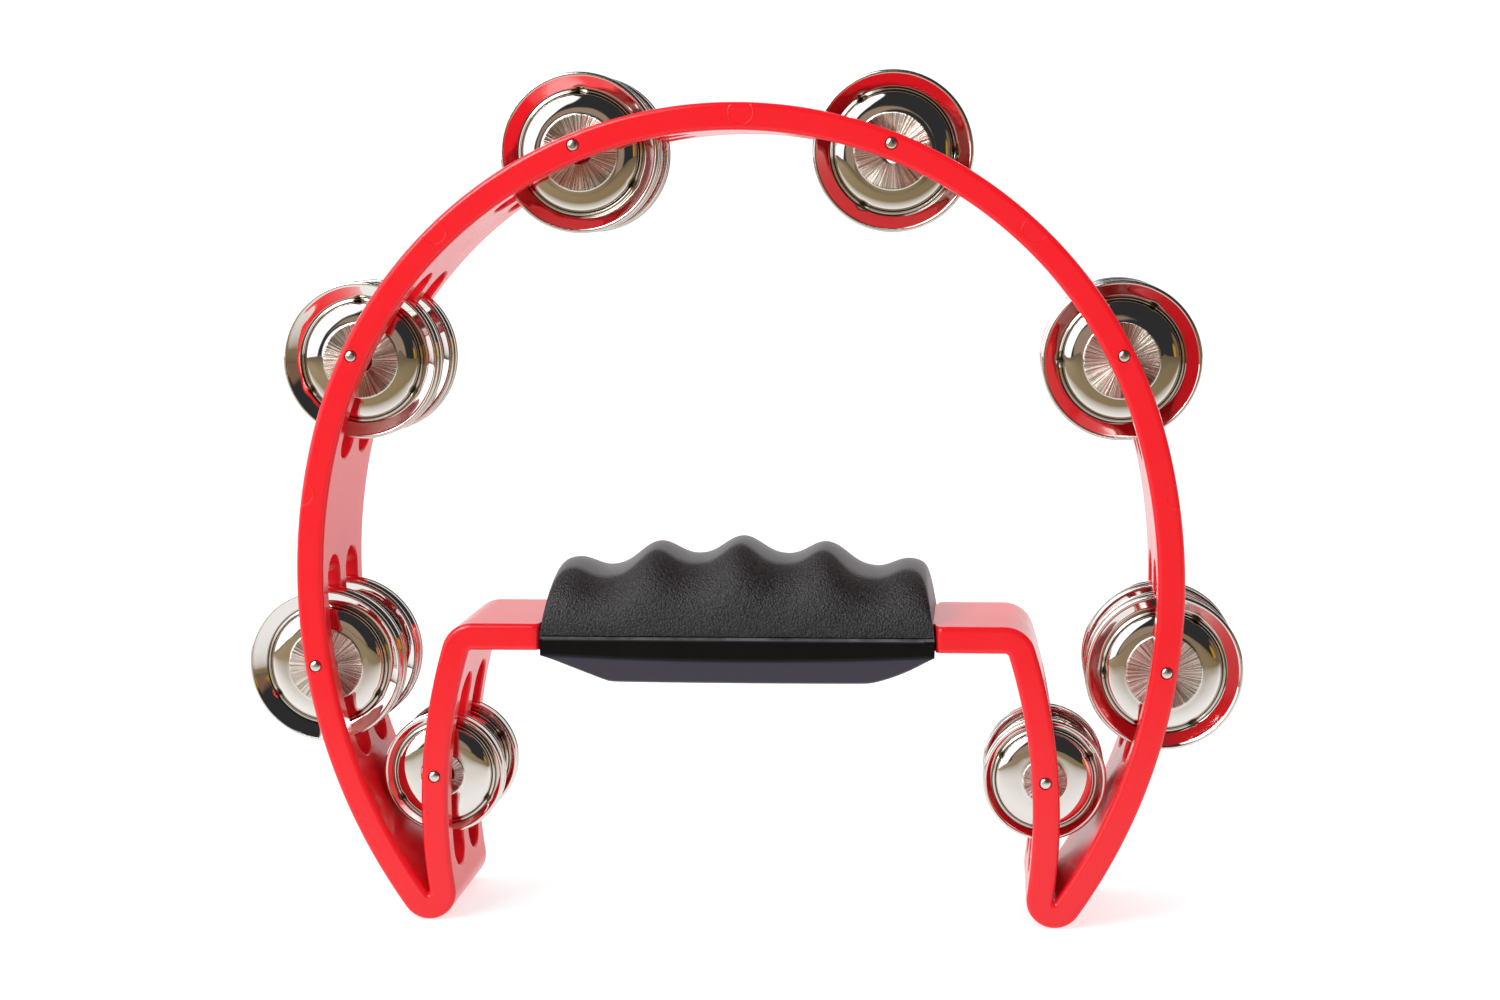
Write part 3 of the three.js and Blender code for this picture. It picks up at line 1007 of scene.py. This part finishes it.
def grained_black():
    """Leather-grained on the front and rear; smoother along the crest, where a painted grey sheen
    stands in for its reflection.
    """
    nodes = Nodes(bpy.data.materials.new("grip_plastic"))
    place = nodes.coordinates()
    _, forwards, upwards = nodes.facing()
    level = nodes.map_range(nodes.math("ABSOLUTE", forwards), 0.31, 0.4, 1.0, 0.0)
    crest = nodes.math("MULTIPLY", level, nodes.map_range(upwards, 0.05, 0.1, 0.0, 1.0))
    grain = nodes.noise(place, 1700.0, 3.0)
    height = nodes.math("MULTIPLY", grain, nodes.map_range(crest, 0.0, 1.0, 1.0, 0.25))
    speckle = nodes.map_range(grain, 0.42, 0.62, 0.0, 1.0)
    leather = nodes.blend(speckle, LEATHER_DARK, LEATHER_LIGHT)
    return nodes.set(
        # the faces that look up along the crest get the painted grey sheen
        Base_Color=nodes.blend(crest, leather, CREST_SHEEN_GREY),
        Roughness=nodes.map_range(nodes.noise(place, 60.0, 2.0), 0.3, 0.7, 0.38, 0.46),
        Normal=nodes.bump(height, 0.9, 0.5),
    )


def smooth_black():
    """Plain, glossy and black, with a painted violet reflection on the faces that look down and a
    painted highlight line along the seam's lip.
    """
    nodes = Nodes(bpy.data.materials.new("grip_plastic_smooth"))
    place = nodes.coordinates()
    # faces that look down get the painted violet reflection
    underneath = nodes.map_range(nodes.facing()[2], -0.3, -0.6, 0.0, 1.0)
    lip_foot = (SEAM_HEIGHT - LIP["height"] - 0.3) * MM
    lip = nodes.map_range(nodes.apart(place)[2], lip_foot, lip_foot + 0.1 * MM, 0.0, 1.0)
    waves = nodes.noise(place, 160.0, 2.0)
    # painted highlight along the lip, broken up by the waves
    lip_highlight = nodes.math("MULTIPLY", lip, nodes.map_range(waves, 0.3, 0.7, 0.4, 1.0))
    plain = nodes.blend(underneath, FRONT_BLACK, UNDERSIDE_REFLECTION_VIOLET)
    return nodes.set(
        Base_Color=nodes.blend(lip_highlight, plain, LIP_HIGHLIGHT_GREY),
        Roughness=nodes.map_range(waves, 0.3, 0.7, 0.2, 0.27),
        IOR=1.3,
        Normal=nodes.bump(waves, 0.03, 1.0),
    )


def chrome():
    """Bright plating with painted shade in the creases, and the plateau brushed outwards from the hole,
    its streaks painted in dark and pale tones of reflection.
    """
    nodes = Nodes(bpy.data.materials.new("jingle_plate"))
    place = nodes.coordinates()
    x, height, z = nodes.apart(place)
    plateau_edge = PLATEAU_HEIGHT * MM
    plateau = nodes.map_range(height, plateau_edge - 0.12 * MM, plateau_edge - 0.06 * MM, 0.0, 1.0)
    angle = nodes.math("ARCTAN2", z, x)
    round_hole = nodes.add(
        "CombineXYZ",
        X=nodes.math("MULTIPLY", nodes.math("COSINE", angle), 9.0),
        Y=nodes.math("MULTIPLY", nodes.math("SINE", angle), 9.0),
        Z=nodes.math("MULTIPLY", height, 100.0),
    )
    streaks = nodes.add(
        "TexNoise", Vector=round_hole.outputs[0], Scale=4.0, Detail=4.0, Roughness=0.7
    ).outputs[0]
    brushed = nodes.bump(nodes.math("MULTIPLY", streaks, plateau), 0.4, 0.8)
    # the brushed streaks' bump and anisotropy are real; their dark and pale tones are painted
    # reflection
    brushed_reflection_share = nodes.map_range(streaks, 0.38, 0.62, 0.0, 1.0)
    brushed_reflection_tone = nodes.blend(brushed_reflection_share, BRUSHED_REFLECTION_DARK, BRUSHED_REFLECTION_LIGHT)
    # painted shade: the plating turns brown where it lies less than 0.8 mm above the back of the cup
    crease = nodes.map_range(height, 0.5 * MM, 0.8 * MM, 1.0, 0.0)
    return nodes.set(
        Base_Color=nodes.blend(plateau, nodes.blend(crease, PLATING, CREASE_SHADE_BROWN), brushed_reflection_tone),
        Metallic=1.0,
        Roughness=nodes.math("MULTIPLY_ADD", plateau, 0.13, 0.03),
        Anisotropic=nodes.math("MULTIPLY", plateau, 0.7),
        Tangent=nodes.add("Tangent", direction_type="RADIAL", axis="Y").outputs[0],
        Normal=nodes.bump(nodes.noise(place, 130.0, 1.0), 0.1, 1.0, Normal=brushed),
    )


def pin_steel():
    nodes = Nodes(bpy.data.materials.new("pin_steel"))
    wear = nodes.noise(nodes.coordinates(), 900.0, 2.0)
    haze = nodes.map_range(wear, 0.3, 0.7, 0.12, 0.25)
    return nodes.set(Base_Color=STEEL_GREY, Metallic=1.0, Roughness=haze)


RED = plastic_red()
GRAINED_BLACK = grained_black()
SMOOTH_BLACK = smooth_black()
CHROME = chrome()
STEEL = pin_steel()

# The object

frame_piece = add_object("frame_moulding", frame_mesh(), RED)
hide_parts("frame")

finger_piece = add_object("grip_upper", finger_mesh(), GRAINED_BLACK)
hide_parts("finger_grip")

palm_piece = add_object("grip_lower", palm_mesh(), SMOOTH_BLACK)
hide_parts("palm_grip")

SEATS = [(row_y, facing) for row_y in (-ROW_OFFSET, ROW_OFFSET) for facing in (-1, 1)]
NOTCH_TURNS = {                       # degrees by which the jingles on a pin are turned
    ("crown", "left"): 270, ("crown", "right"): 180,
    ("shoulder", "left"): 270, ("shoulder", "right"): 0,
    ("side", "left"): 270, ("side", "right"): 0,
    ("leg", "left"): 270, ("leg", "right"): 90,
}

pin = pin_mesh()
jingles = {size: jingle_mesh(f"jingle_{size}", **shape) for size, shape in JINGLES.items()}
for station in STATIONS:
    for hand_name, hand in (("left", -1), ("right", 1)):
        pin_x, pin_z = station.pin()
        at_pin = Matrix.Translation(Vector((hand * pin_x, 0, pin_z)) * MM)
        name = f"pin_{station.name}_{hand_name}"
        piece = add_object(f"{name}_fine", pin, STEEL, "frame", at_pin)
        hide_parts(name)
        for seat, (row_y, facing) in enumerate(SEATS, start=1):
            name = f"jingle_{station.name}_{hand_name}_{seat}"
            back_y = row_y + PAIR_SHIFT + facing * PAIR_GAP / 2
            spot = Vector((hand * pin_x, back_y, pin_z - PIN_HANG)) * MM
            notch = math.radians(NOTCH_TURNS[station.name, hand_name] + 90 * (seat - 1))
            place = Matrix.Translation(spot) @ Matrix.Rotation(-notch, 4, "Y")
            if facing < 0:
                place = place @ Matrix.Rotation(math.pi, 4, "Z")
            piece = add_object(f"{name}_fine", jingles[station.jingle], CHROME, name, place)
            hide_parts(name)

# Studio, in metres

SOFT_LIGHT = (0.58, 0.58, 0.59)
DARK_ROOM = (0.03, 0.03, 0.032)
ROOM_PATCHES = [                      # direction, inner and outer angle in degrees, colour
    ((-0.14, -1, 0.03), 10, 14, (0.33, 0.235, 0.175)),
    ((0.9, -0.45, 0.05), 16, 20, (0.2, 0.12, 0.08)),
    ((0.66, -0.75, 0.04), 5, 7, (0.5, 0.27, 0.01)),
    ((-0.85, -0.3, 0.42), 48, 51, (1.4, 1.4, 1.43)),
]
FLOOR_EMISSION = 0.65
FLOOR_GREY = (0.5, 0.5, 0.5, 1)
MIRRORED_EMISSION = 0.68              # how mirror-like surfaces see the floor, near the object
MIRRORED_FLOOR = (0.25, 0.25, 0.25, 1)
MIRRORED_TABLE = (0.2, 0.14, 0.06, 1)  # and what they see further in front of it
TABLE_EDGE = (-0.06, -0.45)           # between which the floor gives way to the table
SWEEP_START = 1.6                     # metres behind the object
SWEEP_RADIUS = 1.2
SWEEP_TOP = 3.2
SWEEP_HALF_WIDTH = 6.0
FLOOR_FRONT = -4.0
OBJECT_MIDDLE = (0, 0, 0.12)
CAMERA_SPOT = (0.07127, -0.68799, 0.20849)
CAMERA_LENS = 56.93
CAMERA_SHIFT = (-0.0554, 0.0059)
CAMERA_TILT = (7.3815, 3.7175, -0.2446)  # down, sideways and about its own axis, in degrees


def floor_material():
    """White to the eye and for soft light; greyer in reflections, with a wooden table in front."""
    nodes = Nodes(bpy.data.materials.new("studio_floor"))
    in_front = nodes.map_range(nodes.apart(nodes.coordinates())[1], *TABLE_EDGE, 0.0, 1.0)
    mirrored = nodes.add("LightPath").outputs["Is Glossy Ray"]
    level = nodes.map_range(in_front, 0.0, 1.0, MIRRORED_EMISSION, 0.0)
    emission = nodes.add("Mix", data_type="FLOAT")
    for place, value in zip(NUMBER_MIX_INPUTS, (mirrored, FLOOR_EMISSION, level)):
        nodes.feed(emission.inputs[place], value)
    seen = nodes.blend(in_front, MIRRORED_FLOOR, MIRRORED_TABLE)
    return nodes.set(
        Base_Color=nodes.blend(mirrored, FLOOR_GREY, seen),
        Roughness=0.9,
        Emission_Color=(1, 1, 1, 1),
        Emission_Strength=emission.outputs[0],
    )


def add_studio():
    """A pale floor that curves up into a backdrop behind the object."""
    profile = [(FLOOR_FRONT, 0.0)]
    steps = 12
    for step in range(steps + 1):
        angle = math.radians(90 * step / steps)
        y = SWEEP_START + SWEEP_RADIUS * math.sin(angle)
        profile.append((y, SWEEP_RADIUS * (1 - math.cos(angle))))
    profile.append((SWEEP_START + SWEEP_RADIUS, SWEEP_TOP))
    points = [(x, y, z) for y, z in profile for x in (-SWEEP_HALF_WIDTH, SWEEP_HALF_WIDTH)]
    quads = [(2 * k, 2 * k + 1, 2 * k + 3, 2 * k + 2) for k in range(len(profile) - 1)]
    floor_mesh = bpy.data.meshes.new("floor")
    floor_mesh.from_pydata(points, [], quads)
    floor_mesh.shade_smooth()
    floor = bpy.data.objects.new("floor", floor_mesh)
    bpy.context.scene.collection.objects.link(floor)
    floor_mesh.materials.append(floor_material())


def add_light(name, spot, size, power, mirrored=True):
    """A soft rectangular light that looks at the middle of the object."""
    data = bpy.data.lights.new(name, "AREA")
    data.shape = "RECTANGLE"
    data.size = size[0]
    data.size_y = size[1]
    data.energy = power
    light = bpy.data.objects.new(name, data)
    light.location = spot
    light.visible_glossy = mirrored
    direction = Vector(OBJECT_MIDDLE) - Vector(spot)
    light.rotation_euler = direction.to_track_quat("-Z", "Y").to_euler()
    bpy.context.scene.collection.objects.link(light)


def add_world():
    """White to the eye and soft for light, with a room's light and dark parts in reflections."""
    world = bpy.data.worlds.new("studio")
    nodes = Nodes(world)
    direction = nodes.add("TexCoord").outputs["Generated"]
    room = (*DARK_ROOM, 1)
    for towards, inner, outer, tint in ROOM_PATCHES:
        facing = nodes.add("VectorMath", operation="DOT_PRODUCT")
        nodes.feed(facing.inputs[0], direction)
        nodes.feed(facing.inputs[1], unit(towards))
        limits = (math.cos(math.radians(angle)) for angle in (outer, inner))
        near = nodes.map_range(
            facing.outputs["Value"], *limits, 0.0, 1.0, interpolation_type="SMOOTHSTEP"
        )
        room = nodes.blend(near, room, (*tint, 1))
    path = nodes.add("LightPath").outputs
    unseen = nodes.blend(path["Is Glossy Ray"], (*SOFT_LIGHT, 1), room)
    seen = nodes.blend(path["Is Camera Ray"], unseen, (1, 1, 1, 1))
    nodes.feed(world.node_tree.nodes["Background"].inputs["Color"], seen)
    bpy.context.scene.world = world


def add_camera():
    """The viewpoint that matches the picture's perspective: low, to the right of the middle."""
    data = bpy.data.cameras.new("camera")
    data.sensor_width = 36
    data.lens = CAMERA_LENS
    data.shift_x, data.shift_y = CAMERA_SHIFT
    data.clip_start = 0.01
    camera = bpy.data.objects.new("camera", data)
    pitch, yaw, roll = (math.radians(angle) for angle in CAMERA_TILT)
    level = Matrix(((1, 0, 0), (0, 0, -1), (0, 1, 0)))
    tilt = Matrix.Rotation(roll, 3, "Z") @ Matrix.Rotation(pitch, 3, "X") @ Matrix.Rotation(yaw, 3, "Y")
    facing = (tilt @ level).transposed() @ Matrix.Diagonal((1, -1, -1))
    camera.matrix_world = Matrix.Translation(CAMERA_SPOT) @ facing.to_4x4()
    bpy.context.scene.collection.objects.link(camera)
    bpy.context.scene.camera = camera


add_studio()
add_light("key", spot=(-1.3, -1.3, 1.6), size=(1.2, 1.2), power=33)
add_light("top", spot=(0, 0.3, 2.2), size=(1.6, 1.0), power=14, mirrored=False)
add_world()
add_camera()
bpy.context.scene.view_settings.view_transform = "Standard"
